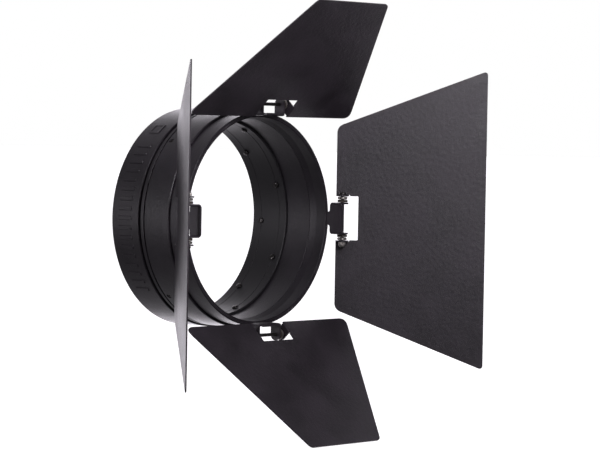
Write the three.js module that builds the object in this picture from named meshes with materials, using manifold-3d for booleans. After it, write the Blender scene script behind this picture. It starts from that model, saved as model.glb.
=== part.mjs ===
// Four-leaf barn door attachment for a stage light, in millimetres.
// The beam runs along Y and leaves towards -Y, +Z is up, and the origin is the centre of the rear mouth.
// Parts at a hinge are drawn at the top hinge, with X along its bolt, and turned about Y to their own side.
import * as THREE from "three";
import { mergeVertices } from "three/addons/utils/BufferGeometryUtils.js";
import Module from "manifold-3d";

// ---- Clearances ----
const GAP = 0.3; // between parts that touch or are fixed together
const RUN_GAP = 0.3; // between the turning hoop and its slot
const HOLE_GAP = 0.3; // between a shank and its hole, on the radius

// ---- Drum and turning rim ----
const RIM_R = 95; // outer radius of the turning rim
const RIM_DEPTH = 17.9; // front to back of the turning rim
const RIM_WALL = 1.1;
const INNER_BAND_WALL = 1.0;
const LIP_LENGTH = 7; // sloping lip at the back of the inner band
const LIP_RISE = 1.0;
const HOOP_WALL = 1.5; // sheet of the hoop that carries the hinges
const FRONT_SHELL_STEP = 2; // front shell stands this far out of the rim
const REAR_SHELL_STEP = 3.3; // rear shell stands this far out of the rim
const FRONT_BAND_LENGTH = 35.1; // smooth band with its grooves and ridge
const REAR_SHELL_LENGTH = 32.4;
const SLOT_FLOOR = 4.8; // from the end of the slot to the rear shell
const SLOT_WALL = 1.3; // inside the slot, where the liner passes it
const SPIGOT_LENGTH = 8; // of the front shell inside the rear shell
const SPIGOT_WALL = 4.2;
const LINER_WALL = 2.6;
const LINER_REACH = 7.8; // of the liner past the rear shell
const GROOVE_WIDTH = 1.2;
const GROOVE_DEPTH = 1.4;
const RIDGE_WIDTH = 3.8; // between the two grooves
const EDGE = 0.6; // chamfer on the cast edges
const RING_FACETS = 64;

// ---- Raised grip on the rear shell ----
const GRIP_COUNT = 17; // bars on each side
const GRIP_PITCH = 5.6; // degrees
const GRIP_LENGTH = 16;
const GRIP_WIDTH = 3.4;
const GRIP_RISE = 0.6;
const PAD_SIZE = 12; // blank raised pad
const PAD_TURN = 135; // degrees round from +X towards +Z

// ---- Liner screws, two staggered rows ----
const SCREW_COUNT = 8; // in each row
const SCREW_TURN = -3; // degrees that the drum is turned back from the hinges
const REAR_ROW_INSET = 10; // from the rear mouth
const SCREW_R = 1.5;
const SCREW_HEAD_R = 2.8;
const SCREW_HEAD_H = 1.6;
const SCREW_BITE = 2.8; // of the shank in the shell outside the liner
const SCREW_FACETS = 12;

// ---- Guide screws that keep the hoop in its slot ----
const GUIDE_COUNT = 4;
const GUIDE_INSET = 5.2; // from the hoop's back edge
const GUIDE_R = 2;
const GUIDE_GROOVE_DEPTH = 0.6;

// ---- Hinges ----
const BOLT_RISE = 7.5; // bolt axis outside the rim
const BOLT_AHEAD = 10.4; // bolt axis to the rim's front face
const BOLT_R = 1.6;
const BOLT_HEAD_R = 3.2;
const BOLT_HEAD_H = 2.4;
const BOLT_END = 1.5; // bolt end past its nut
const NUT_R = 3.5; // across corners, halved
const NUT_H = 4;
const NECK_WIDTH = 12;
const HEAD_WIDTH = 29; // across the tab's two lugs
const HEAD_BACK = 4.2; // ahead of the rim's front face
const HEAD_FRONT = 18;
const HEAD_LIP = 3.6; // bent front edge of the tab
const HEAD_LIP_RISE = 1.2;
const LUG_R = 5.4;
const TAB_ROOT = 4; // of the tab drawn inside the hoop
const WASHER_R = 4.6;
const DISC_SHARE = 0.45; // of the space between lug and ear that the friction disc takes

// ---- Leaves ----
const SHEET = 1.2;
const LEAF_LENGTH = 137;
const LEAF_OFFSET = 9.05; // sheet to bolt axis
const OVERHANG = 6.4; // of the leaf behind its bolt
const NOTCH_WIDTH = 40.4;
const NOTCH_DEPTH = 20.4;
const EAR_R = 5.6;
const SIDE_LEAF = { near: 168, far: 274, nearCorner: 6, farCorner: 5 };
const END_LEAF = { near: 213, far: 92, nearCorner: 10, farCorner: 4 };
const LEAVES = [
  { side: "top", turn: 90, open: 46.5, offset: -LEAF_OFFSET, ...END_LEAF },
  { side: "right", turn: 0, open: 37.5, offset: LEAF_OFFSET, ...SIDE_LEAF },
  { side: "bottom", turn: -90, open: 46.5, offset: -LEAF_OFFSET, ...END_LEAF },
  { side: "left", turn: 180, open: 42, offset: LEAF_OFFSET, ...SIDE_LEAF },
];

// ---- Sizes that follow ----
const RIM_IN = RIM_R - RIM_WALL;
const HOOP_OUT = RIM_IN - GAP;
const HOOP_IN = HOOP_OUT - HOOP_WALL;
const BAND_OUT = HOOP_IN - GAP;
const BAND_IN = BAND_OUT - INNER_BAND_WALL;
const LIP_IN = BAND_IN - LIP_RISE;
const SLOT_OUT = HOOP_OUT + RUN_GAP;
const SLOT_IN = HOOP_IN - RUN_GAP;
const FRONT_SHELL_R = RIM_R + FRONT_SHELL_STEP;
const REAR_SHELL_R = RIM_R + REAR_SHELL_STEP;
const SPIGOT_IN = SLOT_IN - SLOT_WALL;
const SPIGOT_OUT = SPIGOT_IN + SPIGOT_WALL;
const LINER_OUT = SPIGOT_IN - GAP;
const LINER_IN = LINER_OUT - LINER_WALL;
const REAR_SHELL_Y = -REAR_SHELL_LENGTH;
const BAND_BACK_Y = REAR_SHELL_Y - GAP;
const SHELL_FRONT_Y = BAND_BACK_Y - FRONT_BAND_LENGTH;
const RIM_BACK_Y = SHELL_FRONT_Y - RUN_GAP;
const FRONT_Y = RIM_BACK_Y - RIM_DEPTH;
const SLOT_BACK_Y = BAND_BACK_Y - SLOT_FLOOR;
const HOOP_BACK_Y = SLOT_BACK_Y - RUN_GAP;
const SPIGOT_BACK_Y = REAR_SHELL_Y + SPIGOT_LENGTH;
const LINER_FRONT_Y = BAND_BACK_Y - LINER_REACH;
const BOLT_OUT = RIM_R + BOLT_RISE;
const BOLT_Y = FRONT_Y - BOLT_AHEAD;
const LUG_OUTSIDE = HEAD_WIDTH / 2;
const EAR_INSIDE = NOTCH_WIDTH / 2;
const EAR_OUTSIDE = EAR_INSIDE + SHEET;
const BOLT_HOLE_R = BOLT_R + HOLE_GAP;

const wasm = await Module();
wasm.setup();

// ---- Helpers ----
const degrees = (angle) => (angle * Math.PI) / 180;

// A closed geometry as a solid for cutting and joining.
function solid(geometry) {
  const bare = geometry.clone();
  bare.deleteAttribute("normal");
  bare.deleteAttribute("uv");
  const merged = mergeVertices(bare, 1e-4);
  const mesh = new wasm.Mesh({
    numProp: 3,
    vertProperties: merged.attributes.position.array,
    triVerts: new Uint32Array(merged.index.array),
  });
  return new wasm.Manifold(mesh);
}

function geometryOf(made) {
  const mesh = made.getMesh();
  const geometry = new THREE.BufferGeometry();
  geometry.setAttribute("position", new THREE.BufferAttribute(mesh.vertProperties, 3));
  geometry.setIndex(new THREE.BufferAttribute(mesh.triVerts, 1));
  geometry.computeVertexNormals();
  return geometry;
}

const joined = (geometries) => geometries.map(solid).reduce((all, next) => all.add(next));
const cut = (made, tools) => tools.map(solid).reduce((left, tool) => left.subtract(tool), made);

// A ring about Y from a closed outline of [radius, y], drawn anticlockwise.
function ring(outline, facets = RING_FACETS) {
  const points = [...outline, outline[0]].map(([r, y]) => new THREE.Vector2(r, y));
  return new THREE.LatheGeometry(points, facets);
}

// A turned solid about Y from an outline that starts and ends on the axis.
function turned(outline, facets) {
  return new THREE.LatheGeometry(
    outline.map(([r, y]) => new THREE.Vector2(r, y)),
    facets,
  );
}

// Moves a part drawn at the top of the ring round to an angle from +X towards +Z.
const roundTo = (geometry, angle) => geometry.rotateY(degrees(90 - angle));

const evenly = (count, start) =>
  Array.from({ length: count }, (_, i) => start + (360 * i) / count);

// A flat outline of [x, y, corner size], each corner eased by a curve of that size.
function eased(corners) {
  const shape = new THREE.Shape();
  corners.forEach(([x, y, size], i) => {
    const here = new THREE.Vector2(x, y);
    const before = new THREE.Vector2(...corners.at(i - 1).slice(0, 2));
    const after = new THREE.Vector2(...corners[(i + 1) % corners.length].slice(0, 2));
    const from = before.sub(here).setLength(size).add(here);
    const to = after.sub(here).setLength(size).add(here);
    if (i === 0) shape.moveTo(from.x, from.y);
    else shape.lineTo(from.x, from.y);
    if (size > 0) shape.quadraticCurveTo(x, y, to.x, to.y);
  });
  shape.closePath();
  return shape;
}

const plate = (shape, depth, curveSegments = 5) =>
  new THREE.ExtrudeGeometry(shape, { depth, bevelEnabled: false, curveSegments });

// An outline for a lug: a straight foot and a round end about [0, 0].
function lugShape(footLeft, footRight, footY, radius) {
  const shape = new THREE.Shape();
  shape.moveTo(footLeft, footY);
  if (footY < 0) {
    shape.lineTo(footRight, footY);
    shape.absarc(0, 0, radius, 0, Math.PI, false);
  } else {
    shape.absarc(0, 0, radius, Math.PI, 2 * Math.PI, false);
    shape.lineTo(footRight, footY);
  }
  shape.closePath();
  return shape;
}

function placed(geometry, xAxis, yAxis, zAxis, origin) {
  const matrix = new THREE.Matrix4().makeBasis(xAxis, yAxis, zAxis).setPosition(origin);
  return geometry.applyMatrix4(matrix);
}

const X = new THREE.Vector3(1, 0, 0);
const Y = new THREE.Vector3(0, 1, 0);
const Z = new THREE.Vector3(0, 0, 1);
const MINUS_X = X.clone().negate();
const MINUS_Y = Y.clone().negate();
const MINUS_Z = Z.clone().negate();

// A round rod along the radius at the top of the ring, from one radius to another.
function radialRod(radius, from, to, y, facets = SCREW_FACETS) {
  return new THREE.CylinderGeometry(radius, radius, to - from, facets)
    .rotateX(Math.PI / 2)
    .translate(0, y, (from + to) / 2);
}

// A round or hexagonal rod along X, centred on the top bolt.
function boltRod(radius, from, to, facets = SCREW_FACETS) {
  return new THREE.CylinderGeometry(radius, radius, to - from, facets)
    .rotateZ(Math.PI / 2)
    .translate((from + to) / 2, BOLT_Y, BOLT_OUT);
}

const attachment = new THREE.Group();
attachment.name = "barn_door_attachment";

const FINISHES = {
  powder: { color: 0x1c1a1d, metalness: 0.3, roughness: 0.55 },
  liner: { color: 0x161517, metalness: 0.4, roughness: 0.45 },
  steel: { color: 0xb9bbbd, metalness: 1, roughness: 0.3 },
  darkSteel: { color: 0x2c2a2b, metalness: 0.9, roughness: 0.4 },
  fibre: { color: 0x33291f, metalness: 0, roughness: 0.8 },
};

function add(name, geometry, finish) {
  const material = new THREE.MeshStandardMaterial(FINISHES[finish]);
  const mesh = new THREE.Mesh(geometry, material);
  mesh.name = name;
  attachment.add(mesh);
}

// ---- Where the screws go ----
const screwRows = [
  {
    name: "front",
    y: (LINER_FRONT_Y + SPIGOT_BACK_Y) / 2,
    angles: evenly(SCREW_COUNT, 180 / SCREW_COUNT + SCREW_TURN),
  },
  {
    name: "rear",
    y: -REAR_ROW_INSET,
    angles: evenly(SCREW_COUNT, SCREW_TURN),
  },
];
const guideAngles = evenly(GUIDE_COUNT, 45);
const guideY = HOOP_BACK_Y - GUIDE_INSET;
const screwEnd = SPIGOT_IN + SCREW_BITE;
const screwHoles = () =>
  screwRows.flatMap(({ y, angles }) =>
    angles.map((angle) =>
      roundTo(radialRod(SCREW_R + HOLE_GAP, LINER_IN - EDGE, screwEnd + GAP, y), angle),
    ),
  );

// ---- Rear shell: cast band with raised grip bars and a blank pad ----
const rearShell = solid(
  ring([
    [SPIGOT_IN, SPIGOT_BACK_Y + GAP],
    [SPIGOT_OUT + GAP, SPIGOT_BACK_Y + GAP],
    [SPIGOT_OUT + GAP, REAR_SHELL_Y],
    [REAR_SHELL_R - EDGE, REAR_SHELL_Y],
    [REAR_SHELL_R, REAR_SHELL_Y + EDGE],
    [REAR_SHELL_R, -EDGE],
    [REAR_SHELL_R - EDGE, 0],
    [SPIGOT_IN, 0],
  ]),
);
const gripY = REAR_SHELL_Y / 2;
const gripBar = (width, length, angle) => {
  const bar = new THREE.BoxGeometry(width, length, 2 * GRIP_RISE);
  return roundTo(bar.translate(0, gripY, REAR_SHELL_R), angle);
};
const gripAngles = Array.from(
  { length: GRIP_COUNT },
  (_, i) => (i - (GRIP_COUNT - 1) / 2) * GRIP_PITCH,
).filter((angle) => Math.abs(angle) + GRIP_PITCH < PAD_TURN);
const gripBars = [0, 180].flatMap((side) =>
  gripAngles.map((angle) => gripBar(GRIP_WIDTH, GRIP_LENGTH, side + angle * 0.9)),
);
const pad = gripBar(PAD_SIZE, PAD_SIZE, PAD_TURN - 8);
add("rear_shell", geometryOf(cut(rearShell.add(joined([...gripBars, pad])), screwHoles())), "powder");

// ---- Front shell: smooth band, with the slot that the hoop turns in and a spigot into the rear shell ----
const grooveFloor = FRONT_SHELL_R - GROOVE_DEPTH;
const ridgeBackY = BAND_BACK_Y - GROOVE_WIDTH;
const ridgeFrontY = ridgeBackY - RIDGE_WIDTH;
const frontGrooveY = ridgeFrontY - GROOVE_WIDTH;
const frontShell = solid(
  ring([
    [LIP_IN, SHELL_FRONT_Y],
    [SLOT_IN, SHELL_FRONT_Y],
    [SLOT_IN, SLOT_BACK_Y],
    [SLOT_OUT, SLOT_BACK_Y],
    [SLOT_OUT, SHELL_FRONT_Y],
    [FRONT_SHELL_R - EDGE, SHELL_FRONT_Y],
    [FRONT_SHELL_R, SHELL_FRONT_Y + EDGE],
    [FRONT_SHELL_R, frontGrooveY],
    [grooveFloor, frontGrooveY],
    [grooveFloor, ridgeFrontY],
    [FRONT_SHELL_R, ridgeFrontY],
    [FRONT_SHELL_R, ridgeBackY],
    [grooveFloor, ridgeBackY],
    [grooveFloor, BAND_BACK_Y],
    [SPIGOT_OUT, BAND_BACK_Y],
    [SPIGOT_OUT, SPIGOT_BACK_Y],
    [SPIGOT_IN, SPIGOT_BACK_Y],
    [SPIGOT_IN, LINER_FRONT_Y - GAP],
    [LIP_IN, LINER_FRONT_Y - GAP],
  ]),
);
const guideHoles = guideAngles.map((angle) =>
  roundTo(radialRod(GUIDE_R + HOLE_GAP, SLOT_IN + GAP, REAR_SHELL_R, guideY), angle),
);
add("front_shell", geometryOf(cut(frontShell, [...screwHoles(), ...guideHoles])), "powder");

// ---- Liner: inner sleeve of the rear half, bored for both rows of screws ----
const liner = solid(
  ring([
    [LINER_IN, LINER_FRONT_Y + EDGE],
    [LINER_IN + EDGE, LINER_FRONT_Y],
    [LINER_OUT, LINER_FRONT_Y],
    [LINER_OUT, 0],
    [LINER_IN + EDGE, 0],
    [LINER_IN, -EDGE],
  ]),
);
add("liner", geometryOf(cut(liner, screwHoles())), "liner");

// ---- Liner screws: pan heads inside the liner, with a cross recess ----
function linerScrew(y) {
  const seat = LINER_IN - GAP;
  const top = seat - SCREW_HEAD_H;
  const body = turned(
    [
      [0, 0],
      [SCREW_HEAD_R * 0.7, 0],
      [SCREW_HEAD_R, SCREW_HEAD_H * 0.5],
      [SCREW_HEAD_R, SCREW_HEAD_H],
      [SCREW_R, SCREW_HEAD_H],
      [SCREW_R, screwEnd - top],
      [0, screwEnd - top],
    ],
    SCREW_FACETS,
  );
  const arm = [SCREW_HEAD_R * 1.1, SCREW_HEAD_H, SCREW_R * 0.4];
  const recess = [new THREE.BoxGeometry(...arm), new THREE.BoxGeometry(...arm.toReversed())];
  return geometryOf(cut(solid(body), recess))
    .rotateX(Math.PI / 2)
    .translate(0, y, top);
}
for (const { name, y, angles } of screwRows) {
  angles.forEach((angle, i) => {
    add(`liner_screw_${name}_${i + 1}`, roundTo(linerScrew(y), angle), "darkSteel");
  });
}

// ---- Guide screws: their tips run in the hoop's groove ----
const guideTip = HOOP_OUT - GUIDE_GROOVE_DEPTH + GAP;
guideAngles.forEach((angle, i) => {
  const body = radialRod(GUIDE_R, guideTip, FRONT_SHELL_R - EDGE, guideY, 16);
  const socket = radialRod(GUIDE_R / 2, FRONT_SHELL_R - 3 * EDGE, FRONT_SHELL_R, guideY, 6);
  add(`guide_screw_${i + 1}`, roundTo(geometryOf(cut(solid(body), [socket])), angle), "darkSteel");
});

// ---- Hinge hoop: one sheet hoop with four tabs bent to carry the bolts ----
const grooveHalf = GUIDE_R + HOLE_GAP;
const hoopBand = ring([
  [HOOP_IN, FRONT_Y],
  [HOOP_OUT, FRONT_Y],
  [HOOP_OUT, guideY - grooveHalf],
  [HOOP_OUT - GUIDE_GROOVE_DEPTH, guideY - grooveHalf],
  [HOOP_OUT - GUIDE_GROOVE_DEPTH, guideY + grooveHalf],
  [HOOP_OUT, guideY + grooveHalf],
  [HOOP_OUT, HOOP_BACK_Y],
  [HOOP_IN, HOOP_BACK_Y],
]);

// The tab from above: a short neck that widens into a cross-bar.
const neck = NECK_WIDTH / 2;
const tabPlan = eased([
  [-neck, -TAB_ROOT, 0],
  [neck, -TAB_ROOT, 0],
  [neck, HEAD_BACK, 2],
  [LUG_OUTSIDE, HEAD_BACK, 3],
  [LUG_OUTSIDE, HEAD_FRONT, 0.8],
  [-LUG_OUTSIDE, HEAD_FRONT, 0.8],
  [-LUG_OUTSIDE, HEAD_BACK, 3],
  [-neck, HEAD_BACK, 2],
]);

// The tab from the side: flat, with its front edge bent away from the beam.
const bend = HEAD_FRONT - HEAD_LIP;
const tabSide = eased([
  [-TAB_ROOT, 0, 0],
  [bend, 0, 0.5],
  [HEAD_FRONT, HEAD_LIP_RISE, 0],
  [HEAD_FRONT, HOOP_WALL + HEAD_LIP_RISE, 0],
  [bend, HOOP_WALL, 0.5],
  [-TAB_ROOT, HOOP_WALL, 0],
]);
const SHEET_SINK = 0.2; // brings the flat tab inside the curved hoop
const tabR = HOOP_IN - SHEET_SINK;
function tab() {
  const planDepth = HOOP_WALL + 2 * HEAD_LIP_RISE + EDGE;
  const planTop = new THREE.Vector3(0, FRONT_Y, tabR + HOOP_WALL + HEAD_LIP_RISE + EDGE);
  const plan = placed(plate(tabPlan, planDepth), X, MINUS_Y, MINUS_Z, planTop);
  const sideFrom = new THREE.Vector3(LUG_OUTSIDE + 1, FRONT_Y, tabR);
  const side = placed(plate(tabSide, HEAD_WIDTH + 2), MINUS_Y, Z, MINUS_X, sideFrom);
  const foot = tabR + HOOP_WALL / 2 - BOLT_OUT;
  const footBack = HEAD_BACK + 3 - BOLT_AHEAD;
  const footFront = bend - BOLT_AHEAD + 0.6;
  const lugs = [LUG_OUTSIDE, HOOP_WALL - LUG_OUTSIDE].map((x) => {
    const shape = lugShape(footBack - 1.6, footFront + 1.4, foot, LUG_R);
    const lug = plate(shape, HOOP_WALL, 16);
    return placed(lug, MINUS_Y, Z, MINUS_X, new THREE.Vector3(x, BOLT_Y, BOLT_OUT));
  });
  const sheet = solid(plan).intersect(solid(side)).add(joined(lugs));
  return cut(sheet, [boltRod(BOLT_HOLE_R, -HEAD_WIDTH, HEAD_WIDTH)]);
}
const turnOf = (angle) => [0, 90 - angle, 0];
const hoop = LEAVES.reduce(
  (all, { turn }) => all.add(tab().rotate(turnOf(turn))),
  solid(hoopBand),
);
add("hinge_hoop", geometryOf(hoop), "powder");

// ---- Rim bands: an outer and an inner band with the hoop between them ----
const rimBand = ring([
  [RIM_IN, FRONT_Y],
  [RIM_R - EDGE, FRONT_Y],
  [RIM_R, FRONT_Y + EDGE],
  [RIM_R, RIM_BACK_Y - EDGE],
  [RIM_R - EDGE, RIM_BACK_Y],
  [RIM_IN, RIM_BACK_Y],
]);
add("rim_band", geometryOf(solid(rimBand)), "powder");
const innerBand = ring([
  [BAND_IN, FRONT_Y + EDGE],
  [BAND_OUT - EDGE, FRONT_Y],
  [BAND_OUT, FRONT_Y],
  [BAND_OUT, RIM_BACK_Y],
  [LIP_IN, RIM_BACK_Y],
  [BAND_IN, RIM_BACK_Y - LIP_LENGTH],
]);
add("inner_band", geometryOf(solid(innerBand)), "powder");

// ---- Leaves: notched sheet with two ears bent towards the bolt ----
function leafSheet({ near, far, nearCorner, farCorner, offset }) {
  const lift = -offset; // along the extrusion, which points in towards the beam
  const towards = Math.sign(offset);
  const outline = eased([
    [-near / 2, -OVERHANG, nearCorner],
    [-EAR_INSIDE, -OVERHANG, 1],
    [-EAR_INSIDE, NOTCH_DEPTH - OVERHANG, 1],
    [EAR_INSIDE, NOTCH_DEPTH - OVERHANG, 1],
    [EAR_INSIDE, -OVERHANG, 1],
    [near / 2, -OVERHANG, nearCorner],
    [far / 2, LEAF_LENGTH - OVERHANG, farCorner],
    [-far / 2, LEAF_LENGTH - OVERHANG, farCorner],
  ]);
  const sheet = plate(outline, SHEET, 6).translate(0, 0, lift - SHEET / 2);
  const ears = [EAR_INSIDE, -EAR_OUTSIDE].map((x) => {
    const shape = lugShape(-EAR_R, EAR_R, lift - (towards * SHEET) / 4, EAR_R);
    return placed(plate(shape, SHEET, 16), Y, Z, X, new THREE.Vector3(x, 0, 0));
  });
  const bored = new THREE.CylinderGeometry(BOLT_HOLE_R, BOLT_HOLE_R, near, SCREW_FACETS);
  return geometryOf(cut(joined([sheet, ...ears]), [bored.rotateZ(Math.PI / 2)]));
}

for (const leaf of LEAVES) {
  const angle = degrees(leaf.open);
  const along = new THREE.Vector3(0, -Math.cos(angle), Math.sin(angle));
  const inwards = new THREE.Vector3(0, -Math.sin(angle), -Math.cos(angle));
  const pivot = new THREE.Vector3(0, BOLT_Y, BOLT_OUT);
  const sheet = placed(leafSheet(leaf), X, along, inwards, pivot);
  add(`leaf_${leaf.side}`, roundTo(sheet, leaf.turn), "powder");
}

// ---- Hinge hardware: bolt, nut, and a friction disc and steel washer at each lug ----
const headSeat = -EAR_OUTSIDE - GAP;
const nutSeat = EAR_OUTSIDE + GAP;
const boltTip = nutSeat + NUT_H + BOLT_END;
function bolt() {
  const body = joined([
    boltRod(BOLT_HEAD_R, headSeat - BOLT_HEAD_H, headSeat, 16),
    boltRod(BOLT_R, headSeat - BOLT_HEAD_H / 2, boltTip),
  ]);
  const socketFloor = headSeat - BOLT_HEAD_H * 0.45;
  return geometryOf(cut(body, [boltRod(BOLT_R, headSeat - 2 * BOLT_HEAD_H, socketFloor, 6)]));
}
const bored = (from, to, radius, facets) =>
  geometryOf(
    cut(solid(boltRod(radius, from, to, facets)), [boltRod(BOLT_HOLE_R, from - 1, to + 1)]),
  );
const discFrom = LUG_OUTSIDE + GAP;
const washerTo = EAR_INSIDE - GAP;
const discTo = discFrom + DISC_SHARE * (washerTo - discFrom - GAP);
const washerFrom = discTo + GAP;
for (const { side, turn } of LEAVES) {
  add(`bolt_${side}`, roundTo(bolt(), turn), "darkSteel");
  add(`nut_${side}`, roundTo(bored(nutSeat, nutSeat + NUT_H, NUT_R, 6), turn), "steel");
  add(`disc_${side}_a`, roundTo(bored(-discTo, -discFrom, WASHER_R, 16), turn), "fibre");
  add(`disc_${side}_b`, roundTo(bored(discFrom, discTo, WASHER_R, 16), turn), "fibre");
  add(`washer_${side}_a`, roundTo(bored(-washerTo, -washerFrom, WASHER_R, 16), turn), "steel");
  add(`washer_${side}_b`, roundTo(bored(washerFrom, washerTo, WASHER_R, 16), turn), "steel");
}

export default attachment;
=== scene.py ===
"""The looks of a four-leaf barn door attachment for a stage light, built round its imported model.

Sizes are in millimetres until a mesh is made. The camera, the floor and the lights are placed in metres. The beam
runs along Y and leaves towards -Y, and +Z is up. A part at a hinge is worked out at the top hinge, with X along
its bolt, and turned about Y to its own side.
"""
import math

import bmesh
import bpy
import numpy as np
from mathutils import Matrix, Vector


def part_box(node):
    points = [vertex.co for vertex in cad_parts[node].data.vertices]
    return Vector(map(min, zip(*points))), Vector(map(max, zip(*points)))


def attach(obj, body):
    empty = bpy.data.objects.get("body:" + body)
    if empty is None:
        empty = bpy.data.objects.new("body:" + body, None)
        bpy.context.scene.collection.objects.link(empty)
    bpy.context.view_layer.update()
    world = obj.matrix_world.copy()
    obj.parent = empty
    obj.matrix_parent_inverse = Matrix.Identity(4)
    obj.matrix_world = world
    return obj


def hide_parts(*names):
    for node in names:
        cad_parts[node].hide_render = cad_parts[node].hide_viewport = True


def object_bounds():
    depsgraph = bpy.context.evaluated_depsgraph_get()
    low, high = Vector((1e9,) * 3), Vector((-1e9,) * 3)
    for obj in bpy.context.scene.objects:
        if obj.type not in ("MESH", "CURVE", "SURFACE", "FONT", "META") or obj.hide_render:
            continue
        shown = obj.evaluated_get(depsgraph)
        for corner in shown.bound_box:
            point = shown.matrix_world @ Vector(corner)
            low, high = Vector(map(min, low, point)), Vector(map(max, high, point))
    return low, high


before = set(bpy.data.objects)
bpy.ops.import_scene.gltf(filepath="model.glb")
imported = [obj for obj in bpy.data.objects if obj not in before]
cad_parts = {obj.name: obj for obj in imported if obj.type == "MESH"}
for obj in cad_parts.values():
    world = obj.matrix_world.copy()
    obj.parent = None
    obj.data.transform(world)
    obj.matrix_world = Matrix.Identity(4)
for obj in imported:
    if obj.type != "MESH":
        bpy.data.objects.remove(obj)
cad_box = [list(corner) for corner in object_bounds()]

# ---- Camera ----
# A long lens at about the height of the beam, in front of the attachment and well round to its left.
# It sees the inner faces of the top, right and bottom leaves, and the left leaf almost along its edge.
camera_azimuth, camera_elevation, camera_roll = map(math.radians, (-48.63, 1.48, 1.02))
camera_distance = 2.46057
looked_at = Vector((0.02814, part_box("rim_band")[0].y - 0.020, 0.01241))
towards_camera = Vector((
    math.sin(camera_azimuth) * math.cos(camera_elevation),
    -math.cos(camera_azimuth) * math.cos(camera_elevation),
    math.sin(camera_elevation),
))
level_right = Vector((math.cos(camera_azimuth), math.sin(camera_azimuth), 0))
level_up = towards_camera.cross(level_right)
camera_right = math.cos(camera_roll) * level_right + math.sin(camera_roll) * level_up
camera_up = math.cos(camera_roll) * level_up - math.sin(camera_roll) * level_right

camera_data = bpy.data.cameras.new("camera")
camera_data.lens = 165.44
camera_data.sensor_width = 36
camera_data.shift_x = 0.0055
camera_data.shift_y = -0.0321
camera_data.clip_start, camera_data.clip_end = 0.1, 60
camera = bpy.data.objects.new("camera", camera_data)
bpy.context.scene.collection.objects.link(camera)
axes = Matrix((camera_right, camera_up, towards_camera)).transposed().to_4x4()
camera.matrix_world = Matrix.Translation(looked_at + towards_camera * camera_distance) @ axes
bpy.context.scene.camera = camera


# ---- Liner ----
# A thin aluminium sleeve pressed into the rear half of the drum, turned on a lathe and painted satin black.
# A fine line is scribed round it at each row of screws, where the holes were marked out.
def eased(corners, steps=5):
    """A closed outline from corners [across, along, radius].

    Each corner becomes a true arc that touches both of its sides: its centre lies on the corner's bisector, at
    radius / sin(half the corner), and the points between its ends are their directions blended by sines. One more
    point lies just past each end, so that the flats stay flat under smooth shading.
    """
    corners = np.asarray(corners, float)
    at, radius = corners[:, :2], corners[:, 2:]
    before, after = np.roll(at, 1, 0) - at, np.roll(at, -1, 0) - at
    before /= np.linalg.norm(before, axis=1, keepdims=True)
    after /= np.linalg.norm(after, axis=1, keepdims=True)
    half = np.arccos((before * after).sum(1, keepdims=True)) / 2
    touch = radius / np.tan(half)
    bisector = before + after
    bisector /= np.linalg.norm(bisector, axis=1, keepdims=True)
    centre = at + bisector * radius / np.sin(half)
    first, last = at + before * touch, at + after * touch
    swept = (math.pi - 2 * half)[:, None]
    share = np.linspace(0, 1, steps + 1)[None, :, None]
    arc = np.sin((1 - share) * swept) * (first - centre)[:, None] + np.sin(share * swept) * (last - centre)[:, None]
    arc = centre[:, None] + arc / np.sin(swept)
    ends = 0.3 * radius
    outline = [(first + before * ends)[:, None], arc, (last + after * ends)[:, None]]
    return np.concatenate(outline, 1).reshape(-1, 2)


def turned(outline, angles):
    """A profile [radius, y] swept round the beam axis: x is radius times cosine, z is radius times sine."""
    radius, y = np.asarray(outline, float).T
    angles = np.asarray(angles, float)[:, None]
    return np.stack([radius * np.cos(angles), y + 0 * angles, radius * np.sin(angles)], -1)


def evenly_round(count):
    return np.linspace(0, 2 * math.pi, count, endpoint=False)


def in_mm(corners):
    """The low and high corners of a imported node's box, in millimetres."""
    return [np.array(corner) * 1000 for corner in corners]


def piece(name, grids, crease=38.0):
    """One object from grids (points, closed along i, closed along j), in millimetres.

    Each cell of a grid is one face, and a closed direction joins its last line to its first. Points in the same
    place are merged, which shuts seams and poles, and the faces are turned outwards.
    """
    points, faces, start = [], [], 0
    for grid, closed_i, closed_j in grids:
        rows, columns = grid.shape[:2]
        i, j = np.meshgrid(
            np.arange(rows if closed_i else rows - 1),
            np.arange(columns if closed_j else columns - 1),
            indexing="ij",
        )
        next_i, next_j = (i + 1) % rows, (j + 1) % columns
        cell = [i * columns + j, next_i * columns + j, next_i * columns + next_j, i * columns + next_j]
        faces.append(start + np.stack(cell, -1).reshape(-1, 4))
        points.append(grid.reshape(-1, 3) / 1000)
        start += rows * columns
    mesh = bpy.data.meshes.new(name)
    mesh.from_pydata(np.concatenate(points).tolist(), [], np.concatenate(faces).tolist())
    shape = bmesh.new()
    shape.from_mesh(mesh)
    bmesh.ops.remove_doubles(shape, verts=shape.verts, dist=2e-6)
    bmesh.ops.recalc_face_normals(shape, faces=shape.faces)
    shape.to_mesh(mesh)
    shape.free()
    mesh.shade_smooth()
    mesh.set_sharp_from_angle(angle=math.radians(crease))
    made = bpy.data.objects.new(name, mesh)
    bpy.context.scene.collection.objects.link(made)
    return made


def fit(made, body, slot, finish, *nodes):
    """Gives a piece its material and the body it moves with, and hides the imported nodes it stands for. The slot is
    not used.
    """
    made.data.materials.clear()
    made.data.materials.append(finish)
    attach(made, body)
    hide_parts(*nodes)


def node(tree, kind, inputs=None, **settings):
    """Adds a shader node, sets its properties, and sets or links its inputs by name or number."""
    made = tree.nodes.new(kind)
    for name, value in settings.items():
        setattr(made, name, value)
    for name, value in (inputs or {}).items():
        if isinstance(value, bpy.types.NodeSocket):
            tree.links.new(value, made.inputs[name])
        else:
            made.inputs[name].default_value = value
    return made


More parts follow.
